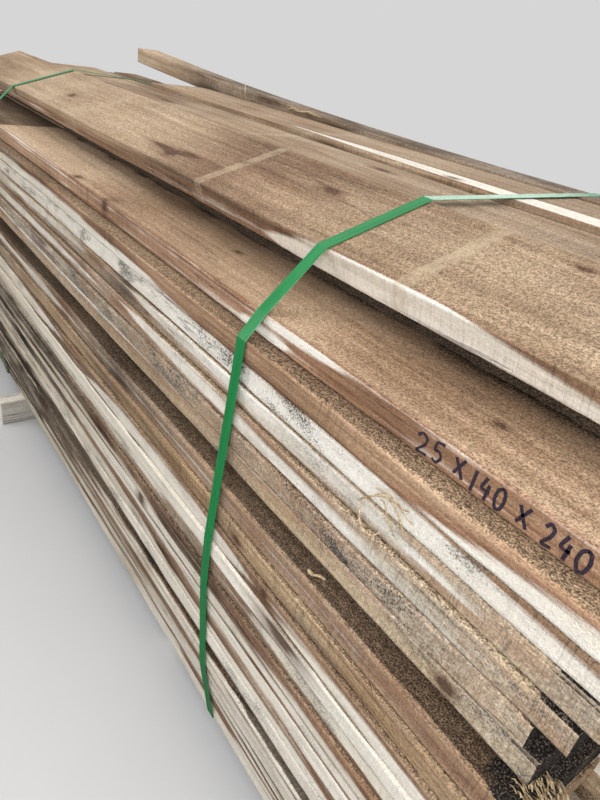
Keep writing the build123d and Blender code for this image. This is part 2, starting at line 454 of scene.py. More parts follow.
knot_far = w.vector("LENGTH", given["Knot"])
knot_pull = w.math("EXPONENT", w.product(knot_far, knot_far, -0.35))
warp = w.noise(place, (2.2, 9, 9))
ring_far = w.sum(w.vector("LENGTH", w.join(0.0, ring_a, ring_b)), (warp, 0.02), (knot_pull, -0.012))
ring_place = w.join(w.math("MULTIPLY", ring_far, 190), w.math("MULTIPLY", along, 0.5), 0.0)
rings = w.noise(ring_place, (1, 1, 1), 2.5, 0.6)
band_place = w.join(w.math("MULTIPLY", ring_far, 45), w.math("MULTIPLY", along, 0.7), 3.0)
bands = w.noise(band_place, (1, 1, 1))
streaks = w.noise(place, (1.7, 42, 42), 4, 0.66)
fibres = w.noise(place, (16, 380, 380), 3, 0.65)
clouds = w.noise(place, (5, 16, 16), 3, 0.6)
fuzz = w.noise(place, (170, 230, 230), 3, 0.75)
grain = w.step(w.noise(place, (500, 560, 560), 1.5, 0.7), 0.35, 0.65)
lines = w.noise(place, (2.4, 170, 170), 3, 0.6)
slant = w.join(w.sum(px, (pa, 0.18), (clouds, 0.02)), pa, pb)
kerf = w.noise(slant, (420, 2.5, 12), 2, 0.7)
kerf_patch = w.step(w.noise(place, (3.1, 5, 5), 1), 0.42, 0.6)

lively = w.sum(1.0, (w.share(grey, 0.7), -1.0))
figure = w.sum(
    w.math("MULTIPLY", dark, -0.5),
    (w.swing(bands), 0.28),
    (w.swing(rings), 0.42),
    (w.swing(streaks), w.sum(0.1, (lively, 0.5), (edge_face, 0.5))),
    (w.swing(clouds), 0.3),
    (w.swing(lines), w.product(lively, w.sum(0.2, (edge_face, 0.8)))),
    (w.swing(fibres), w.sum(0.25, (edge_face, 0.25))),
)
heart = w.ramp(w.sum(0.57, (figure, 0.95)), HEART)
redder = w.blend(1.0, heart, (1.12, 0.84, 0.74, 1), "MULTIPLY")
heart = w.blend(w.product(w.math("MAXIMUM", red, 0.0), 0.85), heart, redder)
yellower = w.blend(1.0, heart, (1.1, 0.98, 0.74, 1), "MULTIPLY")
heart = w.blend(w.product(w.math("MINIMUM", red, 0.0), -0.85), heart, yellower)
sap = w.ramp(w.sum(0.76, (figure, 0.7)), SAP)
sap_edge = w.sum(given["Sap"], (w.swing(clouds), 0.4), (w.swing(streaks), 0.3),
                 (w.swing(lines), 0.3))
rim = w.product(w.step(sap_edge, -0.55, -0.05), w.step(sap_edge, 0.1, -0.02))
heart = w.blend(w.product(rim, 0.85), heart, w.blend(1.0, heart, (0.66, 0.52, 0.48, 1), "MULTIPLY"))
sappy = w.step(sap_edge, -0.1, 0.14)
wood = w.blend(sappy, heart, sap)
weather_mark = w.step(w.sum(0.0, (fuzz, 0.4), (kerf, 0.6)), 0.4, 0.6)
weathered = w.blend(weather_mark, rgb(146, 131, 112), rgb(212, 200, 180))
wood = w.blend(w.product(grey, 0.8, w.step(clouds, 0.32, 0.66)), wood, weathered)

tint_patch = w.noise(place, (13, 34, 34), 3, 0.6)
spots = w.noise(place, (480, 520, 520), 2, 0.75)
speck_level = w.sum(spots, (w.swing(tint_patch), 0.9), (given["Mould"], 0.07))
specks = w.product(w.step(speck_level, 0.66, 0.78), w.share(given["Mould"], 0.75))
tint = w.product(w.step(tint_patch, 0.5, 0.66), w.share(given["Mould"], 0.25))
wood = w.blend(tint, wood, rgb(168, 162, 148))
wood = w.blend(specks, wood, rgb(82, 75, 72))

knot_edge = w.sum(knot_far, (w.swing(lines), 1.8), (w.swing(fibres), 0.8))
knot_wood = w.blend(w.noise(given["Knot"], (3, 3, 3), 2), rgb(52, 36, 28), rgb(112, 84, 64))
wood = w.blend(w.product(w.step(knot_edge, 2.6, 0.9), 0.55), wood, rgb(112, 82, 62))
wood = w.blend(w.product(w.step(knot_edge, 1.15, 0.6), 0.85), wood, knot_wood)

# Ledge: the top faces of the boards get a darker, rougher brown. This is dusty rough-sawn wood, and partly
# painted shade under the courses above.
ledge = w.product(w.step(w.math("ABSOLUTE", nz), 0.88, 0.97), given["Ledge"])
ledge_level = w.sum(0.58, (w.swing(fuzz), 0.7), (w.swing(grain), 0.3), (w.swing(streaks), 0.8),
                    (dark, -0.2), (given["Dirt_and_shade"], -0.42))
LEDGE = [(0.0, rgb(40, 30, 22)), (0.32, rgb(82, 65, 50)), (0.52, rgb(120, 99, 79)),
         (0.78, rgb(160, 138, 112)), (1.0, rgb(200, 180, 150))]
ledge_wood = w.ramp(ledge_level, LEDGE)
wood = w.blend(w.product(ledge, 0.85), wood, ledge_wood)
# Dark specks where a board is marked dirty: grit and stains, and painted shade in the recesses, on the
# crown's front and under the leaning board.
grain_level = w.sum(w.noise(place, (330, 420, 420), 2, 0.8), (given["Dirt_and_shade"], 0.22))
off_edge = w.sum(1.0, (edge_face, -0.9))
dirt_and_shade_specks = w.product(w.step(grain_level, 0.56, 0.7), w.share(given["Dirt_and_shade"], 0.95), off_edge)
wood = w.blend(dirt_and_shade_specks, wood, w.blend(w.step(grain, 0.7, 1.0), rgb(32, 27, 25), rgb(98, 88, 78)))

crack_field = w.noise(place, (2.3, 58, 58), 2)
crack_patch = w.step(w.noise(place, (1.4, 9, 9), 1), 0.58, 0.66)
crack_line = w.step(w.math("ABSOLUTE", w.swing(crack_field)), 0.012, 0.003)
cracks = w.product(crack_line, crack_patch, w.math("SUBTRACT", 1.0, end_face))
round_pith = w.math("MULTIPLY", w.math("ARCTAN2", ring_b, ring_a), 14)
check_field = w.noise(w.join(round_pith, w.math("MULTIPLY", ring_far, 9), along), (1, 1, 1), 2, 0.6)
checks = w.product(w.step(w.math("ABSOLUTE", w.swing(check_field)), 0.012, 0.003), end_face)
calm = w.sum(1.0, (sappy, -0.6))
shade = w.sum(1.0, (w.product(w.swing(fuzz), calm), w.sum(0.8, (broad_face, 0.5))),
              (w.product(w.swing(grain), calm), w.sum(0.4, (broad_face, 0.45))))
sawn = w.math("MAXIMUM", kerf_patch, w.share(grey, 0.8))
saw_marks = w.product(w.step(kerf, 0.5, 0.66), sawn, w.sum(0.12, (edge_face, 0.3)), calm)
shade = w.product(shade, w.math("SUBTRACT", 1.0, saw_marks))
shade = w.product(shade, w.sum(1.0, (end_face, -0.18), (cracks, -0.4), (checks, -0.7)))
wood = w.vector("MULTIPLY", wood, w.join(shade, shade, shade))
w.put(result["Color"], wood)
w.put(result["Roughness"], w.sum(0.7, (fuzz, 0.25)))
height = w.sum(w.product(fuzz, calm, 0.0008), (grain, 0.0003), (w.product(kerf, kerf_patch), 0.0005),
               (fibres, 0.0004), (cracks, -0.0009), (checks, -0.001))
w.put(result["Height"], height)


def timber_material(name, ledge=0.0, bands=()):
    """A sawn-wood finish: the shared timber group fed from a board's own attributes.

    bands are pale marks across the board, where stickers lay while it dried: (x, half width, strength)."""
    material, w, shader = new_finish(name)
    group = w.add("ShaderNodeGroup", node_tree=timber)
    tone = w.attribute("tone")
    w.put(group.inputs["Tone"], tone["Color"])
    w.put(group.inputs["Mould"], tone["Alpha"])
    for socket in ("Log", "Local", "Knot"):
        w.put(group.inputs[socket], w.attribute(socket.lower())["Vector"])
    for socket in ("Sap", "Dirt_and_shade"):
        w.put(group.inputs[socket], w.attribute(socket.lower())["Fac"])
    places = w.add("ShaderNodeTexCoord").outputs
    w.put(group.inputs["Normal"], places["Normal"])
    group.inputs["Ledge"].default_value = ledge
    colour = group.outputs["Color"]
    x, _, _ = w.split(places["Object"])
    wobble = w.noise(places["Object"], (60, 60, 60), 3, 0.7)
    for middle, half, strength in bands:
        away = w.math("ABSOLUTE", w.sum(w.math("SUBTRACT", x, middle), (w.swing(wobble), 0.012)))
        mark = w.product(w.step(away, half + 0.002, half - 0.004), w.step(wobble, 0.25, 0.6), strength)
        colour = w.blend(mark, colour, rgb(196, 178, 150))
    w.put(shader["Base Color"], colour)
    w.put(shader["Roughness"], group.outputs["Roughness"])
    w.put(shader["Normal"], w.bump(group.outputs["Height"], 1.0))
    shader["Specular IOR Level"].default_value = 0.2
    return material


bearer_wood = timber_material("bearer_timber")
for number, node in enumerate(("bearer_far", "bearer_near")):
    low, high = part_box(node)
    look = board_look((-0.3, -0.3, 0.4, 0.4), base=0.6, mix=0.5, knots=[(0.2, 0.02, 0.07, 0.02, 0.01, 0.03)])
    box = (0, high[1] - low[1], 0, high[0] - low[0], low[2], high[2], 0)
    part = sawn_board(box, look, 70 + number, stations=50)
    lying = part["points"].copy()
    part["points"] = np.stack([high[0] - lying[:, 1], low[1] + lying[:, 0], lying[:, 2]], -1)
    piece = timber_mesh(node + "_timber", [part], bearer_wood)
    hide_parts(node)

# The full courses: four boards side by side, sawn square and never planed. The front
# board of each shows its edge, whose streaks of cream sapwood, stains and knots follow
# the photograph. Their places run from the near strap, in metres, + toward the near end.
near_low, near_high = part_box("near_strap")
STRAP_X = (near_low[0] + near_high[0]) / 2
rough_wood = timber_material("rough_board", ledge=1.0)


def front_look(tone, base, mix=0.25, streaks=(), knots=(), stains_and_shade=()):
    """A front board's look, with places measured from the near strap and heights in thicknesses.

    streaks are (1 for sap or -1 for heart, start, end, height at the start, height at the end,
    half height), knots (x, height, half length, half height in metres), stains (x, reach,
    *change of tone)."""
    streaks = [(sign, STRAP_X + start, STRAP_X + end, *rest) for sign, start, end, *rest in streaks]
    knots = [(STRAP_X + x, 0.0, level * 0.03, size_x, 0.05, size_b) for x, level, size_x, size_b in knots]
    stains_and_shade = [(STRAP_X + x, *rest) for x, *rest in stains_and_shade]
    return board_look(tone, base, mix, streaks, knots, stains_and_shade, pith=(0.05, 0.015))


FRONT_LOOKS = [
    front_look((0.1, 0.0, 0.3, 0.3), 0.15, 0.5, [(1, -1.2, 0.0, 0.4, 0.6, 0.5)], stains_and_shade=[(-0.35, 0.06, 0.7)]),
    front_look((0.0, 0.0, 0.3, 0.5), 0.2, 0.6, [(-1, -2.1, -0.1, 0.7, 0.45, 0.4)]),
    front_look((0.1, 0.1, 0.4, 0.5), 0.15, 0.6, [(-1, -0.1, 0.6, 0.8, 0.5, 0.3)]),
    front_look((0.2, 0.0, 0.5, 0.6), 0.1, 0.6, [(-1, -2.0, -0.2, 0.3, 0.5, 0.4)]),
    front_look((0.1, 0.2, 0.3, 0.4), -0.1, 0.5,
               [(1, -0.05, 0.6, 0.55, 0.6, 0.6), (-1, -2.0, 0.0, 0.8, 0.5, 0.4)]),
    front_look((0.2, 0.1, 0.5, 0.5), 0.1, 0.6,
               [(1, -0.5, 0.9, 0.3, 0.5, 0.4), (-1, -2.2, -0.35, 0.4, 0.6, 0.5)],
               stains_and_shade=[(-0.22, 0.03, 1.0)]),
    # Course 7 lies set back: its dark tone is painted shade of the recess.
    front_look((0.9, 0.0, 0.2, 0.2), -1.2),
    front_look((0.0, 0.0, 0.4, 0.9), 0.5, 0.5, [(-1, -1.9, -0.3, 0.1, 0.1, 0.4)]),
    front_look((0.0, 0.0, 0.3, 0.8), 0.3, 0.6, [(-1, -0.6, 0.4, 1.0, 0.9, 0.2)],
               [(-0.12, 0.5, 0.018, 0.003)]),
    front_look((0.0, -0.2, 0.2, 0.6), 0.5, 0.4, [(-1, -2.1, 0.3, 0.8, 0.1, 0.3)]),
    front_look((0.0, 0.0, 0.3, 0.7), 0.6, 0.5,
               [(-1, -0.3, 0.7, 0.0, 0.1, 0.2), (-1, -2.0, -0.25, 0.6, 0.85, 0.35)],
               [(-0.23, 0.6, 0.014, 0.012)]),
    front_look((0.4, 0.5, 0.2, 0.3), -0.4, 0.4,
               [(1, -1.1, -0.1, 0.1, 0.2, 0.35), (1, 0.1, 0.9, 0.3, 0.1, 0.3)]),
    front_look((0.1, 0.1, 0.7, 0.9), 0.15, 0.5, [(-1, -2.0, 0.5, 0.1, 0.05, 0.45)]),
    front_look((-0.1, 0.0, 0.1, 0.4), 0.9, 0.4, knots=[(0.176, 0.5, 0.04, 0.012)]),
    front_look((0.1, -0.1, 0.25, 0.4), -0.5, 0.3,
               [(1, -0.5, 0.12, 0.2, 0.45, 0.6), (1, 0.13, 0.9, 0.3, 0.0, 0.42),
                (1, -1.4, -0.62, 0.5, 0.6, 0.6)],
               [(0.13, 0.65, 0.008, 0.006)]),
    front_look((-0.1, -0.5, 0.15, 0.5), -0.9, 0.3, knots=[(0.055, 0.35, 0.012, 0.006)],
               stains_and_shade=[(-0.4, 0.12, 0.4)]),
    front_look((0.0, 0.35, 0.4, 0.3), -0.9, 0.3, [(1, -1.4, -0.55, 0.6, 0.5, 0.25)],
               stains_and_shade=[(-0.38, 0.12, 0.7)]),
    # Course 18 lies set back: its dark tone is painted shade of the recess.
    front_look((0.9, 0.0, 0.3, 0.1), -1.2),
    front_look((-0.5, -0.25, 0.45, 0.8), -0.8, 0.3, [(1, -1.4, -0.12, 1.0, 1.0, 0.2)],
               [(0.378, 0.4, 0.01, 0.006)],
               [(0.45, 0.3, -0.4, -0.2, 0.5, 0.2)]),
    front_look((-0.25, 0.15, 0.9, 1.3), -0.3, 0.4,
               stains_and_shade=[(-0.4, 0.15, 0.5), (0.2, 0.14, 0.1, 0.2, 0.0, 1.1),
                       (0.52, 0.2, -0.8, 0.0, 0.3, -1.0)]),
    front_look((-0.3, 0.05, 0.6, 0.6), -0.4, 0.3,
               [(1, -0.4, 0.42, 0.8, 0.1, 0.36), (1, -1.5, -0.42, 0.5, 0.5, 0.3)],
               stains_and_shade=[(0.5, 0.24, -1.0, -0.25, 0.7, 0.2)]),
    front_look((-0.35, -0.1, 0.6, 0.6), -0.4, 0.3,
               [(1, -0.36, 0.4, 0.85, 0.45, 0.42), (1, -1.4, -0.5, 0.6, 0.7, 0.3)],
               stains_and_shade=[(-0.34, 0.06, 0.9), (0.5, 0.24, -1.0, -0.15, 0.7, 0.2)]),
    front_look((-0.25, -0.1, 0.1, 1.3), 1.0, 0.3, [(-1, 0.2, 1.1, 1.1, 0.7, 0.32)],
               stains_and_shade=[(0.03, 0.14, 0.0, 0.0, 0.0, 0.7), (0.6, 0.2, 0.0, -0.2, 0.0, -1.2)]),
    front_look((-0.1, 0.42, 0.0, 0.1), -1.0, 0.1,
               [(1, -1.3, -0.07, 0.3, -0.1, 0.5), (1, 0.26, 0.8, -0.15, 0.6, 0.6)]),
    front_look((0.05, 0.3, 0.1, 0.1), -1.0, 0.1),
]


def stained(x, y):
    """A black water stain on the ends and the broad faces of the front boards, in their last 60 mm."""
    depth = np.clip((crown_front - 0.05 - y + 0.05 * drift(y, 9, 0.03)) / 0.06, 0, 1)
    return 2.5 * depth * np.clip((x - STRAP_X - 0.43 + 0.015 * drift(y, 5, 0.02)) / 0.02, 0, 1)


def recess_shade(x, y):
    """Painted shade on the top of a course whose upper neighbour lies further back: darker brown with dark
    specks.
    """
    return np.where(x < STRAP_X + 0.47, 0.45, 0.0)


def recess_shade_and_stain(x, y):
    """The deep recess: painted shade along it, and the black stain at its near end."""
    return np.maximum(recess_shade(x, y), stained(x, y))


def grit_and_shade(x, y):
    """Grit and painted shade on the top course, in the sliver that shows between the marked board and the
    crown.
    """
    return np.where((y < crown_front) & (x > marked_far), 1.4, 0.0)


crown_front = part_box("crown_course_2")[0][1] + 0.03
marked_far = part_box("marked_board")[0][0]
# Courses 6 and 17 get painted shade along their recesses, course 25 grit with painted shade, and courses 18
# to 22 a black stain.
DIRT_AND_SHADE = {6: recess_shade, 17: recess_shade_and_stain, 25: grit_and_shade, **dict.fromkeys(range(18, 23), stained)}

for course, look in enumerate(FRONT_LOOKS, 1):
    node = "course_%02d" % course
    dirt_and_shade = DIRT_AND_SHADE.get(course)
    # Painted shade: each course is darker and greyer toward the far end, more so in the lower courses, where
    # less light reaches.
    look["stains_and_shade"].append((STRAP_X - 1.3, 0.8, 1.1 if course < 15 else 0.5, 0.0, 0.4))
    parts = []
    for place, box in enumerate(boards_in(node)):
        seed = 10 * course + place
        if place == 0:
            parts.append(sawn_board(box, look, seed, 165, 8, 12, 0.003, 0.0026, dirt_and_shade=dirt_and_shade))
            continue
        inner = plain_look(seed, 0.55, (0.15, 0.1, 0.15, 0.35))
        last = place == 3
        size = (90, 7, 9) if last else (24, 7, 7)
        parts.append(sawn_board(box, inner, seed, *size, slack=0.002, dirt_and_shade=dirt_and_shade))
    piece = timber_mesh(node + "_boards", parts, rough_wood)
    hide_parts(node)

# The crown: three narrower courses that lift the middle of the top. They are mostly
# hidden, and show as a dark line under the leaning board, painted dark as shade, and at the ends.
crown_wood = timber_material("crown_board", ledge=0.6)


def painted_crown_shade(x, y):
    """Painted shade: the crown's front boards made near black with dark specks, behind the leaning board's
    foot.
    """
    return np.full(len(x), 1.4)


for number in (1, 2, 3):
    node = "crown_course_%d" % number
    parts = []
    for place, box in enumerate(boards_in(node)):
        seed = 300 + 10 * number + place
        # The crown's front boards get a dark tone, 2.0, and no sapwood: painted shade under the leaning
        # board.
        look = plain_look(seed, -0.6 if place == 0 else 0.3, (2.0 if place == 0 else 0.3, 0.1, 0.0, 0.2))
        parts.append(sawn_board(box, look, seed, 70, 8, 7, dirt_and_shade=None if place else painted_crown_shade))
    piece = timber_mesh(node + "_boards", parts, crown_wood)
    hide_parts(node)

# The marked board: the front one of the top course, warm brown with a cream arris.
# Sawdust and grit, with painted shade, lie on it in the shelter of the leaning board's foot.
marked_wood = timber_material("marked_board_wood")
marked_box = boards_in("marked_board")[0]
marked_look = front_look(
    (-0.25, 0.28, 0.0, 0.15), -1.0, 0.1,
    [(1, -0.05, 0.06, 0.2, 0.3, 0.25), (1, -0.01, 0.16, 0.75, 0.95, 0.2), (1, -0.02, 0.7, 1.02, 1.02, 0.025)],
    stains_and_shade=[(-0.45, 0.1, 0.2), (-0.33, 0.2, 0.1), (0.06, 0.08, -0.2), (-0.95, 0.35, -0.5), (0.22, 0.16, 0.4)],
)
marked_look["pith"] = (0.02, -0.05)
marked_look["knots"] = [
    (STRAP_X - 0.494, 0.0, 0.019, 0.011, 0.02, 0.012),
    (STRAP_X - 0.66, 0.012, 0.03, 0.012, 0.006, 0.02),
    (STRAP_X + 0.289, 0.073, 0.03, 0.006, 0.005, 0.01),
    (STRAP_X - 0.205, 0.09, 0.03, 0.007, 0.004, 0.01),
]


def foot_grit_and_shade(x, y):
    """Grit and painted shade on the marked board: none in front, growing toward the foot of the leaning
    board.
    """
    return np.clip((y - marked_box[2] - 0.126 + 0.008 * drift(x, 61, 0.05)) / 0.026, 0, 1) ** 1.5


part = sawn_board(marked_box, marked_look, 401, 190, 18, 11, dirt_and_shade=foot_grit_and_shade)
piece = timber_mesh("marked_board_timber", [part], marked_wood)
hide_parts("marked_board")
grit, w, shader = new_finish("black_grit")
crumbs = w.noise(w.add("ShaderNodeTexCoord").outputs["Object"], (420, 420, 420), 3, 0.8)
CRUMBS = [(0.34, rgb(46, 38, 32)), (0.5, rgb(98, 82, 68)), (0.64, rgb(176, 152, 124))]
w.put(shader["Base Color"], w.ramp(crumbs, CRUMBS))
shader["Roughness"].default_value = 0.95


def grit_heap(x, seed):
    """Grit swept over the joint: from front to rear, t from 0 to 1, it rises by 3 mm times
    t ** 1.4, unevenly. Ten points run over it and ten back along its underside."""
    t = np.linspace(0, 1, 10)
    front = marked_box[3] - 0.006 - 0.003 * drift(x, seed, 0.03) - 0.002 * drift(x, seed + 1, 0.008)
    y = front[:, None] * (1 - t) + (crown_front - 0.014) * t
    low = marked_box[5] - 0.0026
    top = low + (0.0022 + 0.003 * t ** 1.4) * (1 + 0.3 * patchwork(x[:, None] / 9, y, seed + 2, 0.002, 0.004))
    points = np.stack([np.repeat(x[:, None], 20, 1), np.concatenate([y, y[:, ::-1]], 1),
                       np.concatenate([top, np.full(top.shape, low)], 1)], -1)
    at = np.arange(len(x) * 20).reshape(-1, 20)
    net = np.stack([at[[0, -1], :10], at[[0, -1], :9:-1]], 1)
    ends = np.stack([net[:, 0, :-1], net[:, 0, 1:], net[:, 1, 1:], net[:, 1, :-1]], -1)
    return points.reshape(-1, 3), np.concatenate([tube_faces(at), ends[0][:, ::-1], ends[1]])


def loose_mesh(name, parts, material):
    """Joins (points, faces) pairs into one object that rides with the stack."""
    points, faces = joined(parts)
    mesh = bpy.data.meshes.new(name)
    mesh.from_pydata(points.tolist(), [], faces.tolist())
    mesh.materials.append(material)
    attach(placed(name, mesh), "root")


heap_x = np.linspace(marked_box[0] + 0.004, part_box("leaning_board")[1][0] - 0.01, 700)
loose_mesh("swept_grit", [grit_heap(heap_x, 620)], grit)

# The mark: a size written on the marked board's front edge with a felt pen, as a
# sawmill does. The numbers here are plain made-up ones.
PEN_SHAPES = {
    "0": [[(0.55, 1.0), (0.15, 0.85), (0.02, 0.4), (0.3, 0.0), (0.75, 0.08), (0.95, 0.55), (0.8, 0.92),
           (0.5, 1.0)]],
    "1": [[(0.62, 1.0), (0.4, 0.0)]],
    "2": [[(0.05, 0.75), (0.35, 1.0), (0.8, 0.85), (0.7, 0.5), (0.05, 0.02), (0.95, 0.1)]],
    "4": [[(0.45, 1.0), (0.05, 0.42), (0.9, 0.45)], [(0.75, 0.75), (0.6, 0.0)]],
    "5": [[(0.25, 0.95), (0.15, 0.52), (0.6, 0.6), (0.85, 0.32), (0.5, 0.0), (0.1, 0.1)],
          [(0.25, 0.95), (0.9, 1.0)]],
    "x": [[(0.05, 0.85), (0.9, 0.05)], [(0.85, 0.95), (0.1, 0.1)]],
}
face = part["points"][part["points"][:, 1] < marked_box[2] + 0.008]


def smooth_line(corners, steps=10):
    """A rounded path: the corners joined evenly, then averaged with their neighbours a few times."""
    corners = np.array(corners, float)
    t = np.linspace(0, len(corners) - 1, steps * (len(corners) - 1) + 1)
    line = np.stack([np.interp(t, np.arange(len(corners)), places) for places in corners.T], 1)
    for _ in range(steps):
        line[1:-1] = line[:-2] / 4 + line[1:-1] / 2 + line[2:] / 4
    return line


def pen_stroke(corners, left, bottom, wide, tall):
    """A pen line: a flat section of four corners carried along a rounded path, just proud of
    the board's face."""
    line = smooth_line(corners) * (wide, tall) + (left, bottom)
    way = np.gradient(line, axis=0)
    side = np.stack([-way[:, 1], way[:, 0]], 1) / np.linalg.norm(way, axis=1)[:, None]
    half = 0.0013 * (1 + 0.35 * drift(line[:, 0] + line[:, 1], 77, 0.003))[:, None]
    away = np.hypot(line[:, 0][:, None] - face[:, 0], line[:, 1][:, None] - face[:, 2])
    depth = np.take(face[:, 1], np.argpartition(away, 5, 1)[:, :5]).min(1)
    rows = [np.stack([(line + s * half * side)[:, 0], depth + d, (line + s * half * side)[:, 1]], 1)
            for s, d in ((-1, -0.0003), (1, -0.0003), (1, 0.001), (-1, 0.001))]
    ring = np.arange(len(line) * 4).reshape(-1, 4)
    return np.stack(rows, 1).reshape(-1, 3), np.concatenate([tube_faces(ring), ring[:1], ring[-1:, ::-1]])


ink, w, shader = new_finish("pen_ink")
soak = w.noise(w.add("ShaderNodeTexCoord").outputs["Object"], (700, 700, 700), 2, 0.7)
w.put(shader["Base Color"], w.blend(w.step(soak, 0.42, 0.75), rgb(26, 18, 38), rgb(78, 58, 70)))
shader["Roughness"].default_value = 0.8

WRITTEN = [("2", 0.257, 0.015), ("5", 0.276, 0.013), ("x", 0.301, 0.012), ("1", 0.32, 0.006),
           ("4", 0.33, 0.011), ("0", 0.345, 0.01), ("x", 0.367, 0.012), ("2", 0.391, 0.01),
           ("4", 0.405, 0.011), ("0", 0.42, 0.011)]
PEN_TALL = 0.021
strokes = []
for letter, left, wide in WRITTEN:
    bottom = marked_box[5] - 0.0255 - 0.0015 * drift(left, 78, 0.02)
    strokes += [pen_stroke(corners, STRAP_X + left, bottom, wide, PEN_TALL) for corners in PEN_SHAPES[letter]]
loose_mesh("pen_mark", strokes, ink)

# The leaning board: the widest one, tipped up at the back. Its front edge is dark
# heartwood on the far part and white sapwood from just before the strap on.
plank = cad_points("leaning_board")
leaning_far, leaning_near = plank[:, 0].min(), plank[:, 0].max()
section = plank[plank[:, 0] < leaning_far + 0.001][:, 1:]
foot = section[section[:, 1].argmin()]
back = section[section[:, 0].argmax()]
lip = section[section[:, 0].argmin()]
lean = math.atan2(back[1] - foot[1], back[0] - foot[0])
leaning_rear, leaning_top = foot[0] + math.hypot(*(back - foot)), foot[1] + math.hypot(*(lip - foot))
leaning_box = (leaning_far, leaning_near, foot[0], leaning_rear, foot[1], leaning_top, 0)
leaning_look = front_look(
    (0.0, 0.0, 0.1, 0.1), -1.0, 0.1,
    [(1, -1.7, -0.08, 0.45, 0.45, -0.12), (1, -0.14, 0.75, 0.35, 0.2, 0.98),
     (-1, 0.05, 0.92, 2.1, -0.45, 0.64)],
    stains_and_shade=[(-0.27, 0.14, 0.25, 0.3), (-1.1, 0.3, -0.4)],
)
leaning_look["pith"] = (0.06, -0.05)
leaning_look["knots"] = [
    (STRAP_X - 0.5, 0.04, 0.036, 0.05, 0.007, 0.03),
    (STRAP_X - 0.43, 0.05, 0.036, 0.04, 0.005, 0.03),
    (STRAP_X - 0.47, 0.034, 0.036, 0.016, 0.01, 0.03),
    (STRAP_X - 1.06, 0.067, 0.036, 0.014, 0.006, 0.02),
    (STRAP_X - 0.12, 0.107, 0.033, 0.02, 0.008, 0.01),
    (STRAP_X + 0.24, 0.145, 0.033, 0.01, 0.004, 0.01),
]
leaning_wood = timber_material("leaning_board_wood", bands=[
    (STRAP_X - 0.315, 0.011, 0.5), (STRAP_X + 0.128, 0.011, 0.5), (STRAP_X - 0.885, 0.01, 0.25)])
part = sawn_board(leaning_box, leaning_look, 402, 200, 20, 12, lean=lean)
piece = timber_mesh("leaning_board_timber", [part], leaning_wood)
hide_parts("leaning_board")

# The flat boards behind it: two shorter boards that lie level on the crown. The rear
# one shows a strip of white sapwood along its front arris.
flat_wood = timber_material("flat_board_wood", bands=[(STRAP_X - 0.49, 0.012, 0.4)])
flat_knots = [(STRAP_X - 0.2, 0.09, 0.03, 0.02, 0.008, 0.02), (STRAP_X - 0.9, 0.05, 0.03, 0.03, 0.008, 0.02)]
flat_look = board_look((0.05, 0.0, 0.25, 0.15), pith=(0.07, -0.06), heart=0.3, knots=flat_knots)
rear_look = front_look((0.05, 0.05, 0.25, 0.1), -1.0, 0.1, [(1, -0.6, 1.6, 2.8, 3.0, 1.75)])
rear_look["knots"] = [(STRAP_X - 0.12, 0.018, 0.033, 0.012, 0.006, 0.02)]
for node, look, seed in (("flat_board", flat_look, 403), ("rear_board", rear_look, 404)):
    part = sawn_board(boards_in(node)[0], look, seed, 170, 16, 8)
    piece = timber_mesh(node + "_timber", [part], flat_wood)
    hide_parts(node)

# The loose batten: a narrow piece along the back, bowed so that its far end stands
# clear of the stack. Its face is dark with age and its far end is pale.
batten = cad_points("loose_batten")
batten_far, batten_near = batten[:, 0].min(), batten[:, 0].max()
ends = [batten[batten[:, 0] == x][:, 2].min() for x in (batten_far, batten_near)]
chord = np.interp(batten[:, 0], [batten_far, batten_near], ends) + 0.001
lower = batten[batten[:, 2] <= chord]
upper = batten[batten[:, 2] > chord]
lower, upper = lower[lower[:, 0].argsort()], upper[upper[:, 0].argsort()]


def batten_rise(x):
    """The batten's underside and its thickness at x, read from the frame."""
    under = np.interp(x, lower[:, 0], lower[:, 2])
    return under, np.interp(x, upper[:, 0], upper[:, 2]) - under


batten_look = front_look((0.55, 0.15, 0.5, 0.2), -0.9, 0.2,
                         stains_and_shade=[(batten_far - STRAP_X, 0.25, -1.1), (-0.6, 0.4, 0.3)])
batten_front, batten_rear = batten[:, 1].min(), batten[:, 1].max()
batten_top = ends[1] + batten_rise(batten_far)[1]
batten_box = (batten_far, batten_near, batten_front, batten_rear, ends[1], batten_top, 0)
part = sawn_board(batten_box, batten_look, 405, 170, 8, 8, rise=batten_rise, slack=0.0004)
piece = timber_mesh("loose_batten_timber", [part], timber_material("batten_wood"))
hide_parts("loose_batten")

# Bits caught on the stack: torn bark fibres that loop out of the side, a chip on a
# ledge, and fibres that hang from the batten.
fibre_straw, w, shader = new_finish("bark_fibre")
mottle = w.noise(w.add("ShaderNodeTexCoord").outputs["Object"], (240, 240, 240), 3, 0.7)
w.put(shader["Base Color"], w.blend(w.step(mottle, 0.3, 0.7), rgb(146, 116, 80), rgb(226, 206, 168)))
shader["Roughness"].default_value = 0.8


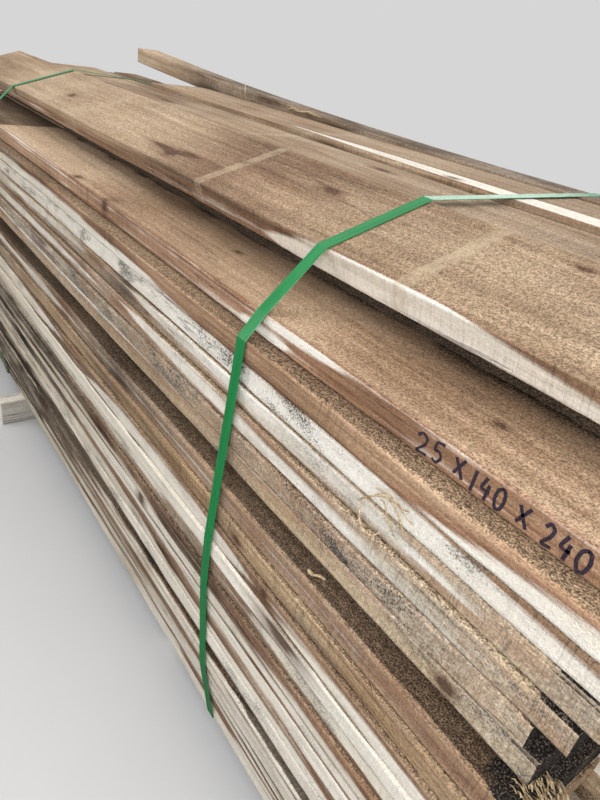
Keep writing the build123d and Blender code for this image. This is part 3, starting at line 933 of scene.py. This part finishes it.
def fibre(corners, radius):
    """A thin strand: a ring of six points carried along a rounded path, thinner at both ends."""
    path = smooth_line(corners, 8)
    way = np.gradient(path, axis=0)
    way /= np.linalg.norm(way, axis=1)[:, None]
    out = np.cross(way, (0.3, 1.0, 0.2))
    out /= np.linalg.norm(out, axis=1)[:, None]
    over = np.cross(way, out)
    turn = np.arange(6) / 3 * math.pi
    size = radius * (0.35 + 0.65 * np.sin(np.pi * np.linspace(0.04, 0.96, len(path))) ** 0.5)[:, None, None]
    cosine, sine = np.cos(turn)[None, :, None], np.sin(turn)[None, :, None]
    ring = path[:, None] + size * (cosine * out[:, None] + sine * over[:, None])
    at = np.arange(len(path) * 6).reshape(-1, 6)
    nxt = np.roll(at, -1, 1)
    faces = np.stack([at[:-1], nxt[:-1], nxt[1:], at[1:]], -1).reshape(-1, 4)
    tips = [at[0, [3, 2, 1, 0]], at[0, [5, 4, 3, 0]], at[-1, :4], at[-1, [0, 3, 4, 5]]]
    return ring.reshape(-1, 3), np.concatenate([faces, tips])


def strand(places, y, radius):
    """A fibre through places (x from the near strap, z from the marked board's top), in metres.
    It bellies out from y by up to 12 mm, as half a sine along it."""
    t = np.linspace(0, 1, len(places))
    corners = [(STRAP_X + x, y - 0.012 * math.sin(math.pi * s), marked_box[5] + z)
               for (x, z), s in zip(places, t)]
    return fibre(corners, radius)


side_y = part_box("course_23")[0][1]
batten_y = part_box("loose_batten")[0][1]
LOOPS = [
    [(0.227, -0.099), (0.242, -0.082), (0.258, -0.067), (0.272, -0.059), (0.281, -0.064), (0.29, -0.08),
     (0.291, -0.097)],
    [(0.238, -0.086), (0.239, -0.093), (0.245, -0.103), (0.255, -0.112), (0.26, -0.116), (0.264, -0.11)],
    [(0.248, -0.069), (0.273, -0.055), (0.288, -0.059), (0.29, -0.065)],
    [(0.247, -0.078), (0.265, -0.058), (0.286, -0.053), (0.295, -0.064), (0.299, -0.072)],
    [(0.258, -0.074), (0.27, -0.066), (0.281, -0.074), (0.287, -0.088), (0.288, -0.1)],
]
HANGING = [
    ([(-0.994, 0.17), (-0.98, 0.16), (-0.971, 0.15), (-0.977, 0.139), (-0.98, 0.125)], 0.0012),
    ([(-0.79, 0.135), (-0.75, 0.141), (-0.72, 0.137), (-0.69, 0.143), (-0.66, 0.136)], 0.0014),
    ([(-0.78, 0.142), (-0.74, 0.135), (-0.71, 0.142), (-0.67, 0.135)], 0.0012),
]
bits = [strand(places, side_y - 0.001 * number, 0.0011 - 0.0001 * number)
        for number, places in enumerate(LOOPS)]
bits += [strand(places, batten_y, radius) for places, radius in HANGING]
ledge_low, ledge_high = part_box("course_17")
chip = np.array([STRAP_X + 0.185, ledge_low[1] + 0.012, ledge_high[2] + 0.003])
bits.append(fibre(chip + [(-0.004, 0, 0), (0, -0.002, 0.002), (0.005, 0, 0)], 0.0026))
bits.append(fibre(chip + [(0.005, 0, 0), (0.011, 0.005, 0.002), (0.017, 0.008, 0)], 0.0018))
rng = np.random.default_rng(31)
for _ in range(90):
    root = chip + (rng.uniform(0.268, 0.3), rng.uniform(0.01, 0.05), -0.004)
    reach, turn, lift = rng.uniform(0.006, 0.018), rng.normal(0.5, 0.16), rng.uniform(0.001, 0.005)
    tip = root + (reach * math.cos(turn), -reach * math.sin(turn), lift)
    bits.append(fibre([root, (root + tip) / 2 + (0, 0, lift), tip], rng.uniform(0.0004, 0.0008)))
loose_mesh("caught_bits", bits, fibre_straw)

# The straps: green polyester band, drawn tight round the stack. It is glossy, with a
# fine embossed ribbing from its making: two sets of ribs cross at a slant, about 2 mm
# apart, which is 3200 radians a metre.
strap_plastic, w, shader = new_finish("green_strapping")
u, v, _ = w.split(w.attribute("run")["Vector"])
RIB_RATE = 3200
ribs = w.math("SINE", w.math("MULTIPLY", w.math("ADD", u, v), RIB_RATE))
ribs = w.math("ADD", ribs, w.math("SINE", w.math("MULTIPLY", w.math("SUBTRACT", u, v), RIB_RATE)))
scuffs = w.noise(w.join(u, v, 0.0), (9, 160, 1), 3, 0.6)
w.put(shader["Base Color"], w.blend(scuffs, rgb(8, 104, 46), rgb(28, 146, 80)))
w.put(shader["Roughness"], w.sum(0.18, (scuffs, 0.2)))
w.put(shader["Normal"], w.bump(w.math("MULTIPLY", ribs, 0.00006), 0.3))
shader["Specular IOR Level"].default_value = 0.5


def hull_path(points):
    """The outer loop of a convex band: its corners in order round the middle, inner ones dropped."""
    unique = np.unique(np.round(points, 6), axis=0)
    middle = unique.mean(0)
    loop = list(unique[np.argsort(np.arctan2(unique[:, 1] - middle[1], unique[:, 0] - middle[0]))])
    start = 0
    while start < len(loop):
        a, b, c = loop[start - 1], loop[start], loop[(start + 1) % len(loop)]
        inward = (b[0] - a[0]) * (c[1] - a[1]) - (b[1] - a[1]) * (c[0] - a[0]) <= 1e-10
        if inward:
            loop.pop(start)
        start = max(0, start - 2) if inward else start + 1
    return np.array(loop)


def strap_mesh(node):
    """A flat band carried along the outer loop of its solid: at each point, a section 1 mm thick
    with rounded edges. run holds each point's way along the band and across it, in metres."""
    points = cad_points(node)
    low, high = points[:, 0].min(), points[:, 0].max()
    loop = hull_path(points[:, 1:])
    rows = []
    for start, end in zip(loop, np.roll(loop, -1, 0)):
        count = max(1, int(np.linalg.norm(end - start) / 0.02))
        rows.append(start + (end - start) * (np.arange(count) / count)[:, None])
    path = np.concatenate(rows)
    run = np.concatenate([[0], np.cumsum(np.linalg.norm(np.roll(path, -1, 0) - path, axis=1))])[:-1]
    tangent = np.roll(path, -1, 0) - np.roll(path, 1, 0)
    tangent /= np.linalg.norm(tangent, axis=1)[:, None]
    outward = np.stack([tangent[:, 1], -tangent[:, 0]], 1)
    across = np.array([-0.5, -0.47, -0.2, 0.2, 0.47, 0.5, 0.47, 0.2, -0.2, -0.47]) * (high - low)
    depth = np.array([-0.5, 0, 0, 0, 0, -0.5, -1, -1, -1, -1]) * 0.001
    x = np.repeat((low + high) / 2 + across[None], len(path), 0)
    yz = path[:, None, :] + outward[:, None, :] * depth[None, :, None]
    grid = np.concatenate([x[..., None], yz], -1)
    ring = np.arange(grid.shape[0] * grid.shape[1]).reshape(grid.shape[:2])
    side, ahead = np.roll(ring, -1, 1), np.roll(ring, -1, 0)
    faces = np.stack([ring, ahead, np.roll(side, -1, 0), side], -1).reshape(-1, 4)
    mesh = bpy.data.meshes.new(node + "_band")
    mesh.from_pydata(grid.reshape(-1, 3).tolist(), [], faces.tolist())
    runs = np.zeros(grid.shape, np.float32)
    runs[..., 0], runs[..., 1] = run[:, None], across[None]
    mesh.attributes.new("run", "FLOAT_VECTOR", "POINT").data.foreach_set("vector", runs.ravel())
    mesh.materials.append(strap_plastic)
    piece = placed(node + "_band", mesh)
    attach(piece, "root")
    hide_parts(node)


strap_mesh("near_strap")
strap_mesh("far_strap")

# The floor: a plain pale studio floor that fades into the room, not part of the object.
# Only the camera sees it pale. Light that bounces off it is dim, as off a dark floor.
ROOM = rgb(214, 214, 214)
floor_paint, w, shader = new_finish("studio_floor")
floor_nodes = floor_paint.node_tree.nodes
shader["Roughness"].default_value = 0.85
places = w.add("ShaderNodeTexCoord").outputs["Object"]
seen = w.add("ShaderNodeLightPath").outputs["Is Camera Ray"]
pale = w.blend(w.noise(places, (3, 3, 3), 3), rgb(206, 206, 206), rgb(212, 212, 212))
w.put(shader["Base Color"], w.blend(seen, rgb(96, 96, 96), pale))
far_off = w.step(w.vector("LENGTH", places), 2.2, 7.0)
glow = w.add("ShaderNodeEmission")
glow.inputs["Color"].default_value = ROOM
mixed = w.add("ShaderNodeMixShader")
w.put(mixed.inputs[0], w.product(far_off, seen))
w.put(mixed.inputs[1], floor_nodes["Principled BSDF"].outputs[0])
w.put(mixed.inputs[2], glow.outputs[0])
w.put(floor_nodes["Material Output"].inputs["Surface"], mixed.outputs[0])
floor_mesh = bpy.data.meshes.new("studio_floor")
FLOOR_REACH = 40
floor_corners = [(x * FLOOR_REACH, y * FLOOR_REACH, 0) for x, y in ((-1, -1), (1, -1), (1, 1), (-1, 1))]
floor_mesh.from_pydata(floor_corners, [], [(0, 1, 2, 3)])
floor_mesh.materials.append(floor_paint)
floor = placed("studio_floor", floor_mesh)

# The light: a pale even room and five soft lamps, the strongest over the back. The
# last one is small and far back, and puts the pale sheen on the near strap's top.
world = bpy.data.worlds.new("studio")
bpy.context.scene.world = world
world.use_nodes = True
w = Wiring(world.node_tree)
room = world.node_tree.nodes["Background"]
seen = w.add("ShaderNodeLightPath").outputs["Is Camera Ray"]
w.put(room.inputs["Color"], w.blend(seen, (1, 1, 1, 1), ROOM))
w.put(room.inputs["Strength"], w.step(seen, 0.0, 1.0, 0.52, 1.0))


def lamp(name, place, aim, size, power):
    """A square area lamp at a place, turned to face the aim."""
    data = bpy.data.lights.new(name, "AREA")
    data.size = size
    data.energy = power
    way = np.array(aim, float) - np.array(place, float)
    tilt = math.atan2(way[2], math.hypot(way[0], way[1]))
    made = placed(name, data)
    made.location = place
    made.rotation_euler = (math.pi / 2 + tilt, 0, math.atan2(way[1], way[0]) - math.pi / 2)


lamp("back_window", (1.5, 4.0, 3.6), (0, 0, 0.8), 3.0, 78)
lamp("front_fill", (2.3, -1.6, 1.9), (0.6, 0, 0.6), 1.8, 50)
lamp("left_fill", (-2.0, -3.4, 1.7), (-0.6, -0.2, 0.8), 2.4, 44)
lamp("top_panel", (-1.0, -0.5, 4.5), (0, 0, 0.8), 3.5, 62)
lamp("strap_glint", (-2.3, 4.0, 2.7), (0.2, 0.2, 0.95), 1.5, 26)

# The camera: low over the near right of the stack, looking down its length, as in
# the photograph. Its place is measured from the marked board's front top arris.
EYE = (0.548, -0.387, 0.270)
RIGHT = (0.57712, 0.80422, 0.14198)
UP = (-0.47452, 0.18874, 0.85977)
BACK = (0.66465, -0.56357, 0.49054)
marked_low, marked_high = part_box("marked_board")
data = bpy.data.cameras.new("camera")
data.lens = 28.0
data.clip_start = 0.01
camera = placed("camera", data)
view = np.eye(4)
view[:3, 0], view[:3, 1], view[:3, 2] = RIGHT, UP, BACK
view[:3, 3] = (STRAP_X + EYE[0], marked_low[1] + EYE[1], marked_high[2] + EYE[2])
camera.matrix_world = Matrix(view.tolist())
bpy.context.scene.camera = camera
bpy.context.scene.view_settings.view_transform = "Standard"
